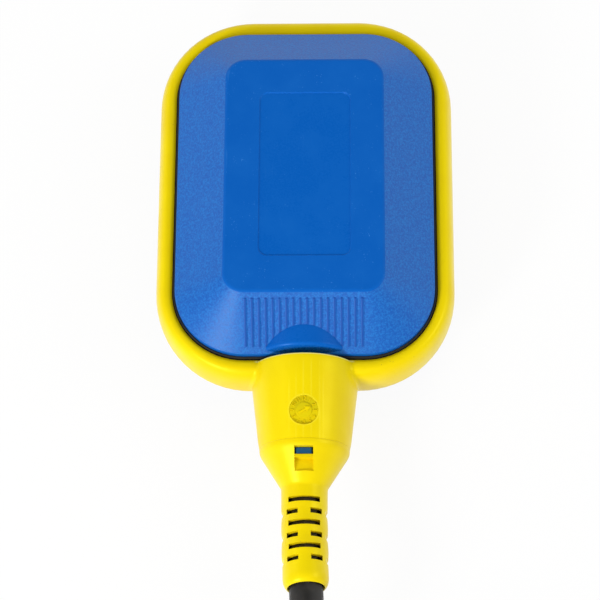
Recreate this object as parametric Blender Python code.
"""Cable float switch: a sealed float with a steel ball that trips a microswitch as the float tips.

Two blue half shells close on an inner switch case. A yellow bumper frame is moulded round their joint
and ends in a collar, where the cable enters through a spigot, a gland and a slotted boot.
Everything is modelled in metres about the centre of the float (x across, y towards the far end,
z up through the flat faces). An empty then lifts the float so that it lies on its rear face.
"""

import math

import bmesh
import bpy
from mathutils import Vector

MM = 0.001
GAP = 0.3 * MM  # between pieces that touch

# ---------------------------------------------------------------- driving dimensions
FLOAT_WIDTH = 80.4 * MM  # across the bumper frame
FLOAT_LENGTH = 106.4 * MM  # along the bumper frame, without the collar
THICKNESS = 41.0 * MM  # from plateau to plateau
FRAME_CORNER = 26.0 * MM
SEAM_HALF = (35.35 * MM, 47.75 * MM)  # inner edge of the bumper frame
SEAM_CORNER = 19.3 * MM
COVER_HALF = (34.8 * MM, 47.2 * MM)  # lip of each half shell
COVER_CORNER = 18.8 * MM
PLATEAU_HALF = (21.15 * MM, 33.5 * MM)
PLATEAU_CORNER = 5.6 * MM
WALL = 2.4 * MM
BOOT_END = -108.5 * MM  # far end of the cable boot, from the float's centre, before the boot is bent
CORNER_STEPS = 8

CABLE_RADIUS = 4.4 * MM
CORE_RADIUS = 1.3 * MM
CABLE_LENGTH = 2.0  # from the boot to the bare cores
BALL_RADIUS = 8.0 * MM

LEVER_REST = math.radians(12)

MID_Z = THICKNESS / 2
CENTRE_Y = 27.575 * MM  # so that the middle of the float with its boot is at y = 0


# ---------------------------------------------------------------- scene and materials
for item in list(bpy.data.objects):
    bpy.data.objects.remove(item, do_unlink=True)

COLLECTION = bpy.context.scene.collection


def material(name, colour, roughness, metallic=0.0):
    made = bpy.data.materials.new(name)
    made.use_nodes = True
    shader = made.node_tree.nodes["Principled BSDF"]
    shader.inputs["Base Color"].default_value = (*colour, 1)
    shader.inputs["Roughness"].default_value = roughness
    shader.inputs["Metallic"].default_value = metallic
    return made


BLUE = material("blue_polypropylene", (0.0, 0.105, 0.46), 0.5)
YELLOW = material("yellow_polypropylene", (0.9, 0.68, 0.0), 0.45)
BLACK_RUBBER = material("black_rubber", (0.02, 0.02, 0.02), 0.7)
CASE_WHITE = material("white_abs", (0.75, 0.75, 0.72), 0.4)
SWITCH_RED = material("red_thermoset", (0.35, 0.03, 0.02), 0.4)
STEEL = material("bright_steel", (0.6, 0.6, 0.6), 0.2, 1.0)
BRASS = material("brass", (0.7, 0.5, 0.2), 0.3, 1.0)
COPPER = material("tinned_copper", (0.65, 0.6, 0.55), 0.3, 1.0)
RESIN = material("potting_resin", (0.05, 0.05, 0.06), 0.3)
SHEATH = material("neoprene_sheath", (0.035, 0.03, 0.03), 0.6)
CORE_COLOURS = {
    "brown": material("brown_insulation", (0.18, 0.06, 0.02), 0.4),
    "blue": material("blue_insulation", (0.03, 0.12, 0.5), 0.4),
    "black": material("black_insulation", (0.02, 0.02, 0.02), 0.4),
}
TIE_BLACK = material("tie_black", (0.03, 0.03, 0.03), 0.5)

float_centre = bpy.data.objects.new("float_centre", None)
float_centre.location = (0, CENTRE_Y, MID_Z)
COLLECTION.objects.link(float_centre)


# ---------------------------------------------------------------- modelling helpers
def add_object(name, bm, finish, parent=float_centre, location=(0, 0, 0), smooth_below=35):
    """Makes the bmesh an object with outward faces, in the float's own coordinates."""
    bmesh.ops.recalc_face_normals(bm, faces=bm.faces)
    mesh = bpy.data.meshes.new(name)
    bm.to_mesh(mesh)
    bm.free()
    mesh.materials.append(finish)
    mesh.shade_smooth()
    mesh.set_sharp_from_angle(angle=math.radians(smooth_below))
    made = bpy.data.objects.new(name, mesh)
    COLLECTION.objects.link(made)
    made.parent = parent
    made.location = location
    return made


def as_cutter(made):
    made.hide_render = True
    made.display_type = "WIRE"
    return made


def boolean(target, other, operation):
    as_cutter(other)
    modifier = target.modifiers.new(other.name, "BOOLEAN")
    modifier.operation = operation
    modifier.solver = "EXACT"
    modifier.object = other


def rounded_outline(half_x, half_y, corner, steps=CORNER_STEPS):
    """Points of a rounded rectangle, anticlockwise from the middle of its +X +Y corner's start."""
    points = []
    for turn, (side_x, side_y) in enumerate(((1, 1), (-1, 1), (-1, -1), (1, -1))):
        for step in range(steps + 1):
            angle = math.pi / 2 * (turn + step / steps)
            x = side_x * (half_x - corner) + corner * math.cos(angle)
            y = side_y * (half_y - corner) + corner * math.sin(angle)
            points.append((x, y))
    return points


def loft(bm, rings, looped=False):
    """Skins rings of points of equal count. Open stacks get a cap at each end."""
    rows = [[bm.verts.new(point) for point in ring] for ring in rings]
    pairs = list(zip(rows, rows[1:]))
    if looped:
        pairs.append((rows[-1], rows[0]))
    for low, high in pairs:
        count = len(low)
        for i in range(count):
            after = (i + 1) % count
            bm.faces.new((low[i], low[after], high[after], high[i]))
    if not looped:
        bm.faces.new(rows[0])
        bm.faces.new(rows[-1])


def lofted(name, rings, finish, looped=False, **options):
    bm = bmesh.new()
    loft(bm, rings, looped)
    return add_object(name, bm, finish, **options)


def turned(name, profile, finish, steps=32, **options):
    """Turns a closed profile of (radius, y) points about the cable axis."""
    bm = bmesh.new()
    verts = [bm.verts.new((radius, y, 0)) for radius, y in profile]
    edges = [bm.edges.new((verts[i - 1], verts[i])) for i in range(len(verts))]
    bmesh.ops.spin(
        bm, geom=verts + edges, cent=(0, 0, 0), axis=(0, 1, 0), angle=math.tau, steps=steps, use_merge=True
    )
    bmesh.ops.remove_doubles(bm, verts=bm.verts, dist=0.001 * MM)
    return add_object(name, bm, finish, **options)


def add_box(bm, low, high):
    """Adds a box between two corners."""
    size = Vector(high) - Vector(low)
    made = bmesh.ops.create_cube(bm, size=1)
    bmesh.ops.scale(bm, vec=size, verts=made["verts"])
    bmesh.ops.translate(bm, vec=(Vector(low) + Vector(high)) / 2, verts=made["verts"])
    return made["verts"]


def boxes(name, corners, finish, **options):
    bm = bmesh.new()
    for low, high in corners:
        add_box(bm, low, high)
    return add_object(name, bm, finish, **options)


def cylinders(name, items, finish, axis="Z", steps=16, **options):
    """Cylinders given as (centre, radius, length), along Z or Y."""
    bm = bmesh.new()
    for centre, radius, length in items:
        made = bmesh.ops.create_cone(
            bm, cap_ends=True, segments=steps, radius1=radius, radius2=radius, depth=length
        )
        if axis == "Y":
            turn = ((1, 0, 0), (0, 0, 1), (0, -1, 0))
            for vert in made["verts"]:
                vert.co = Vector(sum(row[k] * vert.co[k] for k in range(3)) for row in turn)
        bmesh.ops.translate(bm, vec=centre, verts=made["verts"])
    return add_object(name, bm, finish, **options)


def extruded(name, outline, z_low, z_high, finish, **options):
    """A flat outline in x and y, extruded between two heights."""
    rings = [[(x, y, z) for x, y in outline] for z in (z_low, z_high)]
    return lofted(name, rings, finish, **options)


def sector(bm, radii, angles, y_range, steps=4):
    """A slice of a ring about the cable axis. Angles are in degrees from +X towards +Z."""
    arc = [math.radians(angles[0] + (angles[1] - angles[0]) * k / steps) for k in range(steps + 1)]
    flat = [(radii[0] * math.cos(a), radii[0] * math.sin(a)) for a in arc]
    flat += [(radii[1] * math.cos(a), radii[1] * math.sin(a)) for a in reversed(arc)]
    loft(bm, [[(x, y, z) for x, z in flat] for y in y_range])


def tube(name, points, radius, sides_resolution, finish, parent=float_centre):
    """A capped round tube along a list of points."""
    curve = bpy.data.curves.new(name, "CURVE")
    curve.dimensions = "3D"
    curve.bevel_depth = radius
    curve.bevel_resolution = sides_resolution
    curve.use_fill_caps = True
    spline = curve.splines.new("POLY")
    spline.points.add(len(points) - 1)
    for slot, point in zip(spline.points, points):
        slot.co = (*point, 1)
    curve.materials.append(finish)
    made = bpy.data.objects.new(name, curve)
    COLLECTION.objects.link(made)
    made.parent = parent
    return made


def smooth_route(points, spacing):
    """Points at about this spacing on a smooth curve through the given ones."""
    knots = [Vector(point) for point in points]
    ends = [2 * knots[0] - knots[1], *knots, 2 * knots[-1] - knots[-2]]
    route = []
    for before, start, end, after in zip(ends, ends[1:], ends[2:], ends[3:]):
        count = max(1, round((end - start).length / spacing))
        for k in range(count):
            t = k / count
            route.append(
                0.5
                * (
                    2 * start
                    + (end - before) * t
                    + (2 * before - 5 * start + 4 * end - after) * t**2
                    + (3 * start - before - 3 * end + after) * t**3
                )
            )
    return [*route, knots[-1]]


# ---------------------------------------------------------------- half shells
LIP_FOOT = 2.0 * MM  # height of the shell's flange, which the frame grips
LIP_TOP = 9.1 * MM  # where the upright lip turns into the slope
FLANGE_REACH = 1.8 * MM
HOOD_RADIUS = 14.5 * MM
HOOD_END = -46.5 * MM
HOOD_POCKET = 12.2 * MM
ENTRY_RADIUS = 9.2 * MM
RIBS = 18
RIB_PITCH = 1.806 * MM
RIB_HEIGHT = 0.26 * MM
RIB_TOP_Y = -34.6 * MM
RIB_FOOT_Y = -43.9 * MM
LABEL_HALF = (12.15 * MM, 23.6 * MM)
LABEL_CENTRE = (0.2 * MM, 0.1 * MM)
LABEL_CORNER = 2.4 * MM
LABEL_DEPTH = 0.3 * MM
CASE_TOP = 10.1 * MM  # half height of the inner case with its lid
POST_AT = (12.0 * MM, 17.0 * MM)
POST_RADIUS = 2.2 * MM


def outline_at(half, corner, z, grow=0.0):
    points = rounded_outline(half[0] + grow, half[1] + grow, corner + grow)
    return [(x, y, z) for x, y in points]


def cover_rings(side):
    """Rings of a half shell from the inside of its roof, round its rim, to its plateau."""
    slope_x = COVER_HALF[0] - PLATEAU_HALF[0]
    rise = MID_Z - LIP_TOP
    run_in = WALL * math.hypot(slope_x, rise) / rise  # level thickness of the slope
    roof_in = MID_Z - WALL
    lip_in = LIP_TOP - 0.9 * MM
    plateau_shrink = -run_in + WALL * slope_x / rise
    return [
        outline_at(PLATEAU_HALF, PLATEAU_CORNER, side * roof_in, plateau_shrink),
        outline_at(COVER_HALF, COVER_CORNER, side * lip_in, -WALL),
        outline_at(COVER_HALF, COVER_CORNER, side * GAP / 2, -WALL),
        outline_at(COVER_HALF, COVER_CORNER, side * GAP / 2, FLANGE_REACH),
        outline_at(COVER_HALF, COVER_CORNER, side * LIP_FOOT, FLANGE_REACH),
        outline_at(COVER_HALF, COVER_CORNER, side * LIP_FOOT),
        outline_at(COVER_HALF, COVER_CORNER, side * (LIP_TOP - 0.2 * MM), -0.1 * MM),
        outline_at(COVER_HALF, COVER_CORNER, side * (LIP_TOP + 0.1 * MM), -0.3 * MM),
        outline_at(PLATEAU_HALF, PLATEAU_CORNER, side * (MID_Z - 0.15 * MM), 0.15 * MM),
        outline_at(PLATEAU_HALF, PLATEAU_CORNER, side * MID_Z, -0.1 * MM),
    ]


def grip_ribs(side):
    """Fine raised ribs down the slope at the cable's end, each with a rounded back and sloping ends."""
    slope = Vector((0, PLATEAU_HALF[1] - COVER_HALF[1], LIP_TOP - MID_Z)).normalized()
    normal = Vector((0, slope.z, -slope.y))
    edge = Vector((0, -PLATEAU_HALF[1], MID_Z))
    top, foot = ((y + PLATEAU_HALF[1]) / slope.y for y in (RIB_TOP_Y, RIB_FOOT_Y))
    section = ((-0.32, -0.15), (0.32, -0.15), (0.22, 0.7), (0.09, 1.0), (-0.09, 1.0), (-0.22, 0.7))
    bm = bmesh.new()
    for k in range(RIBS):
        x = (k - (RIBS - 1) / 2) * RIB_PITCH
        rings = []
        for down, share in ((top, 0.1), (top + 0.35 * MM, 1), (foot - 0.35 * MM, 1), (foot, 0.1)):
            ring = []
            for across, out in section:
                height = -0.15 * MM if out < 0 else out * share * RIB_HEIGHT
                at = edge + slope * down - normal * height
                ring.append((x + across * MM, at.y, side * at.z))
            rings.append(ring)
        loft(bm, rings)
    return bm


def half_shell(name, side, has_label):
    shell = lofted(name, cover_rings(side), BLUE, smooth_below=12)
    boolean(shell, add_object(name + "_ribs", grip_ribs(side), BLUE), "UNION")
    hood_profile = [(0, HOOD_END), (HOOD_RADIUS, HOOD_END), (HOOD_RADIUS, -32 * MM), (0, -32 * MM)]
    hood = half_round(name + "_hood_bar", hood_profile, side, 9.0 * MM)
    boolean(shell, hood, "UNION")
    pocket = cylinders(
        name + "_pocket_bar", [((0, -34.25 * MM, 0), HOOD_POCKET, 20 * MM)], BLUE, axis="Y", steps=32
    )
    boolean(shell, pocket, "DIFFERENCE")
    entry = cylinders(
        name + "_entry_bar", [((0, -46 * MM, 0), ENTRY_RADIUS, 16 * MM)], BLUE, axis="Y", steps=32
    )
    boolean(shell, entry, "DIFFERENCE")
    post_length = MID_Z - WALL / 2 - CASE_TOP - GAP
    post_z = side * (CASE_TOP + GAP + post_length / 2)
    places = [(sx * POST_AT[0], sy * POST_AT[1], post_z) for sx in (-1, 1) for sy in (-1, 1)]
    posts = cylinders(name + "_posts", [(place, POST_RADIUS, post_length) for place in places], BLUE, steps=12)
    boolean(shell, posts, "UNION")
    if has_label:
        outline = rounded_outline(*LABEL_HALF, LABEL_CORNER, steps=4)
        outline = [(x + LABEL_CENTRE[0], y + LABEL_CENTRE[1]) for x, y in outline]
        heights = (side * (MID_Z - LABEL_DEPTH), side * (MID_Z + LABEL_DEPTH))
        boolean(shell, extruded(name + "_label_plate", outline, *heights, BLUE), "DIFFERENCE")
    return shell


def half_round(name, profile, side, base):
    """A turned bar about the cable axis, of which only the part past a level base is kept."""
    radius = profile[1][0]
    y_low, y_high = profile[0][1], profile[2][1]
    reach = math.sqrt(radius**2 - base**2)
    first = math.atan2(base, reach)
    angles = [first + (math.pi - 2 * first) * k / 14 for k in range(15)]
    flat = [(radius * math.cos(a), side * radius * math.sin(a)) for a in angles]
    return lofted(name, [[(x, y, z) for x, z in flat] for y in (y_low, y_high)], BLUE)


half_shell("front_cover", 1, has_label=True)
half_shell("rear_cover", -1, has_label=False)


# ---------------------------------------------------------------- bumper frame with its collar
FRAME_RIM = 7.0 * MM
FRAME_BACK = 36.9 * MM - SEAM_HALF[0]  # how far the frame's inside steps back behind its lip
REBATE_Z = 4.0 * MM
COLLAR_START = -48.6 * MM
COLLAR_END = -70.9 * MM
COLLAR_BORE = 9.3 * MM


def frame_outline(share, z):
    """The outline this share of the way from the seam to the outer edge of the frame."""
    half = [
        seam + share * (outer - seam)
        for seam, outer in zip(SEAM_HALF, (FLOAT_WIDTH / 2, FLOAT_LENGTH / 2))
    ]
    corner = SEAM_CORNER + share * (FRAME_CORNER - SEAM_CORNER)
    return [(x, y, z) for x, y in rounded_outline(half[0], half[1], corner)]


def frame_rings():
    """Rings of the bumper frame: a rounded outer bead, an inner lip and a rebate behind the lip."""
    bead = ((0.0, 6.6), (0.07, 7.05), (0.32, 7.5), (0.6, 7.1), (0.82, 5.9), (0.95, 3.8), (1.0, 1.3))
    upper = [frame_outline(share, z * MM) for share, z in bead]
    lower = [frame_outline(share, -z * MM) for share, z in reversed(bead)]
    back = FRAME_BACK / (FLOAT_WIDTH / 2 - SEAM_HALF[0])
    inside = [(0.0, -REBATE_Z), (back, -REBATE_Z), (back, REBATE_Z), (0.0, REBATE_Z)]
    return upper + lower + [frame_outline(share, z) for share, z in inside]


frame = lofted("bumper_frame", frame_rings(), YELLOW, looped=True)
collar = turned(
    "collar_blank",
    [
        (13.75 * MM, COLLAR_START),
        (14.0 * MM, COLLAR_START - 0.3 * MM),
        (14.1 * MM, -51.0 * MM),
        (13.95 * MM, -54.5 * MM),
        (13.45 * MM, -59.0 * MM),
        (12.85 * MM, -64.0 * MM),
        (12.3 * MM, -68.7 * MM),
        (11.95 * MM, -70.6 * MM),
        (11.7 * MM, COLLAR_END),
        (COLLAR_BORE - 1 * MM, COLLAR_END),
        (COLLAR_BORE - 1 * MM, COLLAR_START),
    ],
    YELLOW,
    steps=40,
)
boolean(frame, collar, "UNION")
rebate_share = (FRAME_BACK + 0.05 * MM) / (FLOAT_WIDTH / 2 - SEAM_HALF[0])
rebate_rings = [frame_outline(rebate_share, side * (REBATE_Z + 0.05 * MM)) for side in (-1, 1)]
boolean(frame, lofted("rebate_bar", rebate_rings, YELLOW), "DIFFERENCE")
bore = cylinders("collar_bore_bar", [((0, -58 * MM, 0), COLLAR_BORE, 40 * MM)], YELLOW, axis="Y", steps=32)
boolean(frame, bore, "DIFFERENCE")
DIAL_Y = -63.6 * MM
DIAL_RADIUS = 3.86 * MM
DIAL_FLOOR = 12.5 * MM
dial = cylinders("dial_bar", [((0, 0, 3 * MM), DIAL_RADIUS, 6 * MM)], YELLOW, steps=24)
dial.location = (0, DIAL_Y, DIAL_FLOOR)
dial.rotation_euler = (math.radians(8), 0, 0)
boolean(frame, dial, "DIFFERENCE")


# ---------------------------------------------------------------- seals
def seal_rings(side):
    """An L-shaped gasket: an upright fin in the visible seam and a foot on the shell's flange."""
    half, corner = COVER_HALF, COVER_CORNER
    fin = (0.08 * MM, 0.47 * MM)
    foot = (LIP_FOOT + 0.2 * MM, REBATE_Z - 0.2 * MM)
    top = 6.5 * MM
    section = (
        (fin[0], foot[0]),
        (FLANGE_REACH - 0.1 * MM, foot[0]),
        (FLANGE_REACH - 0.1 * MM, foot[1]),
        (fin[1], foot[1]),
        (fin[1], top),
        (fin[0], top),
    )
    return [outline_at(half, corner, side * z, grow) for grow, z in section]


for seal_name, seal_side in (("front_seal", 1), ("rear_seal", -1)):
    seal = lofted(seal_name, seal_rings(seal_side), BLACK_RUBBER, looped=True)
    seal_cut = cylinders(
        seal_name + "_entry_bar", [((0, -48 * MM, 0), COLLAR_BORE + 0.2 * MM, 12 * MM)], BLUE, axis="Y", steps=32
    )
    boolean(seal, seal_cut, "DIFFERENCE")

# ---------------------------------------------------------------- spigot, gland and boot on the cable axis
SPIGOT_RADIUS = 8.9 * MM
SPIGOT_END = -74.9 * MM
CABLE_HOLE = 4.7 * MM
GLAND_BORE = 7.2 * MM
spigot = turned(
    "cable_spigot",
    [
        (CABLE_HOLE, -41.9 * MM),
        (11.8 * MM, -41.9 * MM),
        (11.8 * MM, -43.9 * MM),
        (SPIGOT_RADIUS, -43.9 * MM),
        (SPIGOT_RADIUS, SPIGOT_END + 0.6 * MM),
        (SPIGOT_RADIUS - 0.6 * MM, SPIGOT_END),
        (GLAND_BORE, SPIGOT_END),
        (GLAND_BORE, -50.5 * MM),
        (CABLE_HOLE, -50.5 * MM),
    ],
    BLUE,
)
TOOTH_HALF = 2.0 * MM
teeth = boxes(
    "latch_teeth",
    [
        ((-TOOTH_HALF, -74.5 * MM, side * 8.9 * MM - 1 * MM), (TOOTH_HALF, -73.0 * MM, side * 8.9 * MM + 1 * MM))
        for side in (-1, 1)
    ],
    BLUE,
)
boolean(spigot, teeth, "UNION")


def sleeve(name, inner, outer, y_low, y_high, finish):
    return turned(name, [(inner, y_low), (outer, y_low), (outer, y_high), (inner, y_high)], finish)


sleeve("potting_plug", CABLE_HOLE, GLAND_BORE - GAP, -61.6 * MM, -50.8 * MM, RESIN)
sleeve("gland_bush", CABLE_HOLE, GLAND_BORE - GAP, -72.3 * MM, -62.0 * MM, BLACK_RUBBER)
sleeve("gland_washer", CABLE_HOLE, GLAND_BORE - GAP, -74.4 * MM, -72.6 * MM, BRASS)

# The slotted tube and the cable in it are bent a little, because the lead rises onto its coil.
BEND_FROM = -82.5 * MM
BEND_RATE = math.radians(8.4) / (26 * MM)
BEND_TOWARDS = Vector((math.sin(math.radians(17)), 0, math.cos(math.radians(17))))
ALONG = Vector((0, 1, 0))


def bent(point):
    """Where the bend takes a point of the straight boot or of the cable in it."""
    point = Vector(point)
    beyond = BEND_FROM - point.y
    if beyond <= 0:
        return point
    turn = beyond * BEND_RATE
    lift = point.dot(BEND_TOWARDS)
    aside = point - BEND_TOWARDS * lift - ALONG * point.y
    axis = ALONG * (BEND_FROM - math.sin(turn) / BEND_RATE) + BEND_TOWARDS * ((1 - math.cos(turn)) / BEND_RATE)
    return axis + aside + (BEND_TOWARDS * math.cos(turn) + ALONG * math.sin(turn)) * lift


def bend(made):
    for vertex in made.data.vertices:
        vertex.co = bent(vertex.co)


BOOT_START = COLLAR_END - 0.1 * MM
BOOT_SOCKET = 9.4 * MM
BOOT_BORE = 4.65 * MM
SOCKET_END = -75.2 * MM
SLOT_ROWS = 3
SLOT_PITCH = 6.5 * MM
SLOT_WIDTH = 1.3 * MM
FIRST_WIDE_SLOT = -85.5 * MM
# Between the rows of short slots the boot swells a little, like a row of barrels.
barrels = []
for row in range(SLOT_ROWS):
    wide_y = FIRST_WIDE_SLOT - row * SLOT_PITCH
    barrels += [
        (6.1 * MM, wide_y + 0.6 * MM),
        (6.1 * MM, wide_y - 0.9 * MM),
        (5.65 * MM, wide_y - SLOT_PITCH / 2 + 0.75 * MM),
        (5.65 * MM, wide_y - SLOT_PITCH / 2 - 0.75 * MM),
    ]
barrels.append((6.0 * MM, barrels[-1][1] - 1.6 * MM))
boot = turned(
    "cable_boot",
    [
        (BOOT_SOCKET, BOOT_START),
        (11.6 * MM, BOOT_START),
        (11.85 * MM, BOOT_START - 0.25 * MM),
        (11.75 * MM, -72.0 * MM),
        (11.5 * MM, -72.7 * MM),
        (11.1 * MM, -73.4 * MM),
        (10.55 * MM, -74.25 * MM),
        (6.35 * MM, -81.05 * MM),
        (6.12 * MM, -81.5 * MM),
        *barrels,
        (6.0 * MM, -105.9 * MM),
        (5.75 * MM, -107.5 * MM),
        (5.4 * MM, -108.2 * MM),
        (5.05 * MM, BOOT_END),
        (4.95 * MM, BOOT_END),
        (BOOT_BORE, -107.1 * MM),
        *((BOOT_BORE, BEND_FROM - k * 3.3 * MM) for k in range(7, -1, -1)),
        (BOOT_BORE, SOCKET_END),
        (BOOT_SOCKET, SOCKET_END),
    ],
    YELLOW,
)
bend(boot)
WINDOW_HALF = 2.45 * MM


def window_cutter():
    """On top and below: an opening over the latch tooth, a ledge, and a shallow ramp down the cone."""
    outline = ((-80.0, 7.9), (-75.35, 7.9), (-75.35, 8.75), (-72.8, 8.75), (-72.8, 14.0), (-80.0, 14.0))
    bm = bmesh.new()
    for side in (-1, 1):
        loft(bm, [[(x, y * MM, side * z * MM) for y, z in outline] for x in (-WINDOW_HALF, WINDOW_HALF)])
    return bm


boolean(boot, add_object("window_bars", window_cutter(), YELLOW), "DIFFERENCE")


def slot_cutter():
    """Rows of wide slots from above and below, and between them rows of short ones."""
    bm = bmesh.new()
    for row in range(SLOT_ROWS):
        wide_y = FIRST_WIDE_SLOT - row * SLOT_PITCH
        short_y = wide_y - SLOT_PITCH / 2
        wide = (wide_y - SLOT_WIDTH / 2, wide_y + SLOT_WIDTH / 2)
        short = (short_y - SLOT_WIDTH / 2, short_y + SLOT_WIDTH / 2)
        for side in (-1, 1):
            low, high = sorted((side * 1.6 * MM, side * 7 * MM))
            add_box(bm, (-4.35 * MM, wide[0], low), (4.35 * MM, wide[1], high))
            for x_side in (-1, 1):
                left, right = sorted((x_side * 1.65 * MM, x_side * 4.55 * MM))
                add_box(bm, (left, short[0], low), (right, short[1], high))
    return bm


def notch_cutter():
    """Shallow notches round the sides, which carry on the rows of short slots."""
    bm = bmesh.new()
    for row in range(SLOT_ROWS):
        short_y = FIRST_WIDE_SLOT - (row + 0.5) * SLOT_PITCH
        for middle in (0, 180):
            sector(bm, (5.25 * MM, 7.5 * MM), (middle - 36, middle + 36), (short_y - 0.5 * MM, short_y + 0.5 * MM))
    return bm


for cutter in (add_object("slot_bars", slot_cutter(), YELLOW), add_object("notch_bars", notch_cutter(), YELLOW)):
    bend(cutter)
    boolean(boot, cutter, "DIFFERENCE")

# ---------------------------------------------------------------- inner switch case with its lid
CASE_HALF_X = 19.0 * MM
CASE_Y = (-30.0 * MM, 27.5 * MM)
CASE_WALL = 1.5 * MM
CHANNEL_HALF = 8.35 * MM  # from the axis to the guide rails, floor and lid of the ball channel
CASE_FLOOR = -CHANNEL_HALF - CASE_WALL
BOSS_AT_X = 15.4 * MM
BOSS_AT_Y = (-26.4 * MM, 23.9 * MM)
BOSS_RADIUS = 2.7 * MM
SCREW_HOLE = 1.45 * MM

rim = CHANNEL_HALF
case = boxes(
    "inner_case",
    [((-CASE_HALF_X, CASE_Y[0], CASE_FLOOR), (CASE_HALF_X, CASE_Y[1], rim))],
    CASE_WHITE,
)
hollow = boxes(
    "case_hollow",
    [
        (
            (-CASE_HALF_X + CASE_WALL, CASE_Y[0] + CASE_WALL, -CHANNEL_HALF),
            (CASE_HALF_X - CASE_WALL, CASE_Y[1] - CASE_WALL, rim + 5 * MM),
        )
    ],
    CASE_WHITE,
)
boolean(case, hollow, "DIFFERENCE")
RAIL = 1.4 * MM
rails = boxes(
    "case_rails",
    [
        ((CHANNEL_HALF, 1 * MM, -9 * MM), (CHANNEL_HALF + RAIL, 27 * MM, 2 * MM)),
        ((-CHANNEL_HALF - RAIL, 1 * MM, -9 * MM), (-CHANNEL_HALF, 27 * MM, 2 * MM)),
        ((-4 * MM, 24.6 * MM, -9 * MM), (4 * MM, 27 * MM, 2 * MM)),
    ],
    CASE_WHITE,
)
boolean(case, rails, "UNION")
boss_places = [(side * BOSS_AT_X, y) for side in (-1, 1) for y in BOSS_AT_Y]
boss_middle = (CASE_FLOOR + CASE_WALL / 2 + rim) / 2
boss_length = rim - CASE_FLOOR - CASE_WALL / 2
bosses = cylinders(
    "case_bosses", [((x, y, boss_middle), BOSS_RADIUS, boss_length) for x, y in boss_places], CASE_WHITE
)
boolean(case, bosses, "UNION")
pilot = cylinders(
    "case_pilots", [((x, y, 4 * MM), SCREW_HOLE, 16 * MM) for x, y in boss_places], CASE_WHITE, steps=12
)
boolean(case, pilot, "DIFFERENCE")
wire_slot = boxes(
    "case_wire_slot", [((-13.4 * MM, -32 * MM, -2.2 * MM), (13.4 * MM, -27 * MM, 2.2 * MM))], CASE_WHITE
)
boolean(case, wire_slot, "DIFFERENCE")

LID_Z = (rim + 0.25 * MM, CASE_TOP - 0.2 * MM)
lid = boxes(
    "inner_case_lid", [((-CASE_HALF_X, CASE_Y[0], LID_Z[0]), (CASE_HALF_X, CASE_Y[1], LID_Z[1]))], CASE_WHITE
)
lid_holes = cylinders(
    "lid_holes", [((x, y, 9 * MM), 1.7 * MM, 8 * MM) for x, y in boss_places], CASE_WHITE, steps=12
)
boolean(lid, lid_holes, "DIFFERENCE")

HEAD_RADIUS = 2.6 * MM
HEAD_Z = (CASE_TOP + 0.1 * MM, CASE_TOP + 1.6 * MM)
for number, (screw_x, screw_y) in enumerate(boss_places, start=1):
    screw_bm = bmesh.new()
    section = ((1.15, -2.0), (1.15, 9.5), (1.15, 10.2), (HEAD_RADIUS / MM, 10.2), (HEAD_RADIUS / MM, 11.0), (1.7, 11.7))
    rings = []
    for radius, z in section:
        ring = [math.tau * k / 12 for k in range(12)]
        rings.append([(radius * MM * math.cos(a), radius * MM * math.sin(a), z * MM) for a in ring])
    loft(screw_bm, rings)
    add_object(f"case_screw_{number}", screw_bm, STEEL, location=(screw_x, screw_y, 0))

# ---------------------------------------------------------------- steel ball in its channel
BALL_REST_Y = 16.2 * MM
ball_bm = bmesh.new()
bmesh.ops.create_icosphere(ball_bm, subdivisions=3, radius=BALL_RADIUS)
add_object("steel_ball", ball_bm, STEEL, location=(0, BALL_REST_Y, 0), smooth_below=80)

# ---------------------------------------------------------------- microswitch
SWITCH_HALF_X = 14.0 * MM
SWITCH_Y = (-22.0 * MM, -6.2 * MM)
SWITCH_HALF_Z = 5.2 * MM
SWITCH_WALL = 1.4 * MM
PLUNGER_X = -4.0 * MM
HINGE_AT = (-12.2 * MM, -4.8 * MM)
LEVER_THICK = 0.4 * MM
LEVER_LENGTH = 24.0 * MM
COVER_PLATE = 1.0 * MM

body_top = SWITCH_HALF_Z - COVER_PLATE - 0.2 * MM
switch_body = boxes(
    "switch_body",
    [((-SWITCH_HALF_X, SWITCH_Y[0], -SWITCH_HALF_Z), (SWITCH_HALF_X, SWITCH_Y[1], body_top))],
    SWITCH_RED,
)
switch_hollow = boxes(
    "switch_hollow",
    [
        (
            (-SWITCH_HALF_X + SWITCH_WALL, SWITCH_Y[0] + SWITCH_WALL, -SWITCH_HALF_Z + SWITCH_WALL),
            (SWITCH_HALF_X - SWITCH_WALL, SWITCH_Y[1] - SWITCH_WALL, SWITCH_HALF_Z + 2 * MM),
        )
    ],
    SWITCH_RED,
)
boolean(switch_body, switch_hollow, "DIFFERENCE")
ears = boxes(
    "hinge_ears",
    [
        ((-13.6 * MM, SWITCH_Y[1] - 0.5 * MM, z), (-10.8 * MM, -3.6 * MM, z + 1.0 * MM))
        for z in (-4.6 * MM, 3.0 * MM)
    ],
    SWITCH_RED,
)
boolean(switch_body, ears, "UNION")
plunger_hole = cylinders(
    "plunger_hole", [((PLUNGER_X, -7 * MM, 0), 1.35 * MM, 6 * MM)], SWITCH_RED, axis="Y", steps=12
)
boolean(switch_body, plunger_hole, "DIFFERENCE")
TABS = {"terminal_common": -10.9 * MM, "terminal_open": 2.2 * MM, "terminal_closed": 11.5 * MM}
TAB_HALF = 1.4 * MM
TAB_HALF_Z = 0.4 * MM
TAB_END = -27.5 * MM
tab_slots = boxes(
    "tab_slots",
    [
        ((x - TAB_HALF - GAP, -24 * MM, -TAB_HALF_Z - GAP), (x + TAB_HALF + GAP, -20 * MM, TAB_HALF_Z + GAP))
        for x in (TABS["terminal_common"], TABS["terminal_open"], TABS["terminal_closed"] - 0.3 * MM)
    ],
    SWITCH_RED,
)
boolean(switch_body, tab_slots, "DIFFERENCE")
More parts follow.
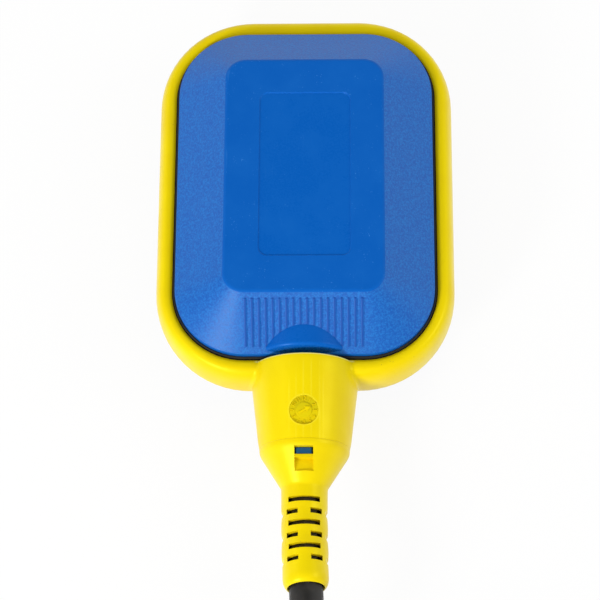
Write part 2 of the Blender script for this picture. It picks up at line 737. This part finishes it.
boxes(
    "switch_cover_plate",
    [((-SWITCH_HALF_X, SWITCH_Y[0], SWITCH_HALF_Z - COVER_PLATE), (SWITCH_HALF_X, SWITCH_Y[1], SWITCH_HALF_Z))],
    SWITCH_RED,
)

# The blade lies across the hollow, between the fixed contacts of the open and closed terminals.
BLADE_PIVOT = (-11.5 * MM, -11.3 * MM)
blade_bm = bmesh.new()
add_box(blade_bm, (0, -0.15 * MM, -2 * MM), (21.0 * MM, 0.15 * MM, 2 * MM))
add_object("moving_contact", blade_bm, BRASS, location=(*BLADE_PIVOT, 0))

common_x = TABS["terminal_common"]
open_x = TABS["terminal_open"]
closed_x = TABS["terminal_closed"]
terminal_outlines = {
    "terminal_common": [
        (common_x - TAB_HALF, TAB_END),
        (common_x + TAB_HALF, TAB_END),
        (common_x + TAB_HALF, -11.9 * MM),
        (common_x - TAB_HALF, -11.9 * MM),
    ],
    "terminal_open": [
        (open_x - TAB_HALF, TAB_END),
        (open_x + TAB_HALF, TAB_END),
        (open_x + TAB_HALF, -16 * MM),
        (9.4 * MM, -16 * MM),
        (9.4 * MM, -13.0 * MM),
        (7.0 * MM, -13.0 * MM),
        (7.0 * MM, -14.6 * MM),
        (open_x - TAB_HALF, -14.6 * MM),
    ],
    "terminal_closed": [
        (closed_x - TAB_HALF - 0.2 * MM, TAB_END),
        (closed_x + TAB_HALF - 0.6 * MM, TAB_END),
        (closed_x + TAB_HALF - 0.6 * MM, -9.4 * MM),
        (7.2 * MM, -9.4 * MM),
        (7.2 * MM, -10.8 * MM),
        (closed_x - TAB_HALF + 0.4 * MM, -10.8 * MM),
        (closed_x - TAB_HALF + 0.4 * MM, -18 * MM),
        (closed_x - TAB_HALF - 0.2 * MM, -18 * MM),
    ],
}
for terminal_name, terminal_outline in terminal_outlines.items():
    extruded(terminal_name, terminal_outline, -TAB_HALF_Z, TAB_HALF_Z, BRASS)

# Lever: an empty on the hinge axis carries it, raised by its free angle at rest.
lever_hinge = bpy.data.objects.new("lever_hinge", None)
lever_hinge.parent = float_centre
lever_hinge.location = (*HINGE_AT, 0)
lever_hinge.rotation_euler = (0, 0, LEVER_REST)
COLLECTION.objects.link(lever_hinge)
lever = boxes(
    "switch_lever",
    [((0, -LEVER_THICK / 2, -2.2 * MM), (LEVER_LENGTH, LEVER_THICK / 2, 2.2 * MM))],
    STEEL,
    parent=lever_hinge,
)
knuckle = cylinders("lever_knuckle", [((0, 0, 0), 0.75 * MM, 5.4 * MM)], STEEL, steps=12, parent=lever_hinge)
boolean(lever, knuckle, "UNION")

plunger_rest = -3.8 * MM
turned_plunger = cylinders(
    "switch_plunger", [((0, -3.2 * MM, 0), 1.05 * MM, 6.4 * MM)], CASE_WHITE, axis="Y", steps=12
)
turned_plunger.location = (PLUNGER_X, plunger_rest, 0)

# ---------------------------------------------------------------- cable inside the float, and its cores
SHEATH_END = -43.0 * MM
FREE_START = BOOT_END + 2.5 * MM
entry_stops = (SHEATH_END, -60 * MM, -75 * MM, *(BEND_FROM + k / 6 * (FREE_START - BEND_FROM) for k in range(7)))
tube("cable_entry_length", [bent((0, stop, 0)) for stop in entry_stops], CABLE_RADIUS, 2, SHEATH)
CORE_START_Y = SHEATH_END + GAP
CORE_END_Y = TAB_END - GAP
core_ends = {
    "brown": ((-2.2 * MM, 0.9 * MM), common_x),
    "black": ((0.0, -1.9 * MM), open_x),
    "blue": ((2.2 * MM, 0.9 * MM), closed_x - 0.9 * MM),
}
for colour, ((start_x, start_z), end_x) in core_ends.items():
    core_route = [
        (start_x, CORE_START_Y, start_z),
        (start_x, CORE_START_Y + 2.2 * MM, start_z),
        (start_x + 0.35 * (end_x - start_x), -37.4 * MM, 0.6 * start_z),
        (start_x + 0.8 * (end_x - start_x), -33.6 * MM, 0.1 * start_z),
        (end_x, -30.2 * MM, 0),
        (end_x, CORE_END_Y, 0),
    ]
    tube(f"core_{colour}", smooth_route(core_route, 1.6 * MM), CORE_RADIUS, 1, CORE_COLOURS[colour])

# ---------------------------------------------------------------- free cable and its coil, in world places
CORD_PITCH = 2 * CABLE_RADIUS + 0.6 * MM  # between turns and between layers
TIE_THICK = 1.1 * MM
COIL_Z = TIE_THICK + 0.3 * MM + CABLE_RADIUS  # lowest layer
LAYERS = 4
TURNS = 7.14
TURNS_PER_LAYER = TURNS / LAYERS
POINTS_PER_LOOP = 24
LEAD_STRAIGHT = 6.5 * MM  # beyond the boot
LEAD_BEND = 54.0 * MM
LEAD_TURN = math.radians(42)
BARE_CORES = 32 * MM


def ease(t):
    """Two equal arcs in opposite senses, which give the gentlest climb over a given length."""
    t = min(max(t, 0.0), 1.0)
    return 2 * t * t if t < 0.5 else 1 - 2 * (1 - t) ** 2


# The lead leaves the bent boot straight, then turns aside while it rises to the top layer of the coil.
lead_top = COIL_Z + (LAYERS - 1) * CORD_PITCH
lead_exit = bent((0, BOOT_END, 0)) + Vector((0, CENTRE_Y, MID_Z))
exit_turn = (BEND_FROM - BOOT_END) * BEND_RATE
exit_way = BEND_TOWARDS * math.sin(exit_turn) - ALONG * math.cos(exit_turn)
FIRST_TURN = -math.atan2(exit_way.x, -exit_way.y)
exit_slope = exit_way.z / exit_way.xy.length


def heading(turn):
    """Level direction of the lead, turned this far from the float's axis."""
    return Vector((-math.sin(turn), -math.cos(turn), 0))


def inward(turn):
    """From the lead to the centre of its bend."""
    return Vector((-math.cos(turn), math.sin(turn), 0))


lead_way = heading(LEAD_TURN)
bend_length = LEAD_BEND * (LEAD_TURN - FIRST_TURN)
bend_centre = lead_exit.xy.to_3d() + heading(FIRST_TURN) * LEAD_STRAIGHT + inward(FIRST_TURN) * LEAD_BEND
RISE = LEAD_STRAIGHT + bend_length + 7.0 * MM


def lead_point(along):
    """A point of the lead, this far over the ground from the boot."""
    around = along - LEAD_STRAIGHT
    if around < 0:
        place = lead_exit.xy.to_3d() + heading(FIRST_TURN) * along
    else:
        turn = FIRST_TURN + min(around, bend_length) / LEAD_BEND
        place = bend_centre - inward(turn) * LEAD_BEND + lead_way * max(around - bend_length, 0)
    t = min(max(along, 0) / RISE, 1)
    height = lead_exit.z + exit_slope * (min(along, 0) + RISE * t * (1 - t) ** 2)
    return place + Vector((0, 0, height + (lead_top - lead_exit.z) * t * t * (3 - 2 * t)))


LEAD_START = BOOT_END - FREE_START + GAP
LEAD_STEPS = 16
lead_end = RISE + 2 * CABLE_RADIUS
lead_points = [
    lead_point(LEAD_START + (lead_end - LEAD_START) * step / LEAD_STEPS) for step in range(LEAD_STEPS + 1)
]
tube("cable", lead_points, CABLE_RADIUS, 2, SHEATH, parent=None)
coil_start = lead_points[-1] + lead_way * (GAP + 2 * CABLE_RADIUS)
START_ANGLE = math.pi - LEAD_TURN


def route_length(points):
    return sum((b - a).length for a, b in zip(points, points[1:]))


def coil_route(outer):
    """The coil's points. Its layers wind in and out from the top down, and it ends straight at both ends."""
    centre = coil_start - outer * Vector((math.cos(START_ANGLE), math.sin(START_ANGLE), 0))
    steps = round(TURNS * POINTS_PER_LOOP)
    points = []
    for k in range(steps + 1):
        turns = TURNS * k / steps
        layer = min(int(turns / TURNS_PER_LAYER), LAYERS - 1)
        along = turns - layer * TURNS_PER_LAYER
        radius = outer - CORD_PITCH * (along if layer % 2 == 0 else TURNS_PER_LAYER - along)
        fallen = sum(ease((turns - change * TURNS_PER_LAYER) * 2 + 0.5) for change in range(1, LAYERS))
        angle = START_ANGLE + math.tau * turns
        points.append(centre + Vector((radius * math.cos(angle), radius * math.sin(angle), -fallen * CORD_PITCH)))
    last = (points[-1] - points[-2]).normalized()
    return centre, [points[0] - lead_way * 2 * CABLE_RADIUS, *points, points[-1] + last * 2 * CABLE_RADIUS]


def least_gap(points):
    """The smallest distance between the surfaces of turns that aren't neighbours on the cord."""
    apart = 2 * POINTS_PER_LOOP // 3
    nearest = min(
        distance_to_stretch(point, points[j], points[j + 1])
        for i, point in enumerate(points)
        for j in range(len(points) - 1)
        if abs(j - i) >= apart
    )
    return nearest - 2 * CABLE_RADIUS


def distance_to_stretch(point, start, end):
    stretch = end - start
    t = min(max((point - start).dot(stretch) / stretch.length_squared, 0), 1)
    return (point - start - stretch * t).length


coil_radius = 40 * MM
lead_length = route_length(lead_points)
while lead_length + route_length(coil_route(coil_radius)[1]) < CABLE_LENGTH - BARE_CORES:
    coil_radius += 0.05 * MM
coil_centre, coil_points = coil_route(coil_radius)
tube("cable_coil", coil_points, CABLE_RADIUS, 1, SHEATH, parent=None)
print(f"lead {lead_length:.4f} m, coil {route_length(coil_points):.4f} m, outer loop radius {coil_radius:.4f} m")
print(f"least gap of the coil to itself {least_gap(coil_points) / MM:.2f} mm")

# The three cores leave the cut sheath side by side, each with a crimped end sleeve.
FERRULE_LENGTH = 7 * MM
FERRULE_RADIUS = 0.8 * MM
end_way = (coil_points[-1] - coil_points[-2]).normalized()
end_side = Vector((end_way.y, -end_way.x, 0))
for colour, (aside, above) in {"brown": (-2.2, -0.9), "black": (0.0, 1.9), "blue": (2.2, -0.9)}.items():
    core_points = []
    for k in range(6):
        run = k * BARE_CORES / 5
        fan = aside * MM * (1 + 0.8 * ease(run / BARE_CORES))
        sink = (CABLE_RADIUS - 2.2 * MM) * ease(run / BARE_CORES) + max(above, 0) * MM * ease(run / BARE_CORES)
        core_points.append(
            coil_points[-1] + end_way * (GAP + run) + end_side * fan + Vector((0, 0, above * MM - sink))
        )
    tube(f"end_core_{colour}", core_points, CORE_RADIUS, 1, CORE_COLOURS[colour], parent=None)
    tip_way = (core_points[-1] - core_points[-2]).normalized()
    tip = core_points[-1] + tip_way * GAP
    tube(f"end_sleeve_{colour}", [tip, tip + tip_way * FERRULE_LENGTH], FERRULE_RADIUS, 1, COPPER, parent=None)

TIE_WIDTH = 4.8 * MM
TIE_CLEAR = 0.6 * MM


def cable_tie(name, degrees):
    """A strap round the bundle of turns, with its locking head on the inside of the coil."""
    radii = [(point - coil_centre).xy.length for point in coil_points[1:-1]]
    inner = min(radii) - CABLE_RADIUS - TIE_CLEAR
    outer = max(radii) + CABLE_RADIUS + TIE_CLEAR
    top = lead_top + CABLE_RADIUS + 0.3 * MM
    half = ((outer - inner) / 2, (top - TIE_THICK) / 2)
    middle = ((inner + outer) / 2, (top + TIE_THICK) / 2)
    rings = []
    for grow, along in ((0, -0.5), (TIE_THICK, -0.5), (TIE_THICK, 0.5), (0, 0.5)):
        flat = rounded_outline(half[0] + grow, half[1] + grow, 3.5 * MM + grow, steps=4)
        rings.append([(middle[0] + u, along * TIE_WIDTH, middle[1] + v) for u, v in flat])
    band = lofted(name, rings, TIE_BLACK, looped=True, parent=None)
    head_low = (inner - 4.8 * MM, -3.6 * MM, middle[1] - 3.2 * MM)
    head_high = (inner - 0.4 * MM, 3.6 * MM, middle[1] + 3.2 * MM)
    head = boxes(name + "_head", [(head_low, head_high)], TIE_BLACK, parent=None)
    boolean(band, head, "UNION")
    for piece in (band, head):
        piece.location = (coil_centre.x, coil_centre.y, 0)
        piece.rotation_euler = (0, 0, math.radians(degrees))


cable_tie("coil_tie_1", 30)
cable_tie("coil_tie_2", 255)
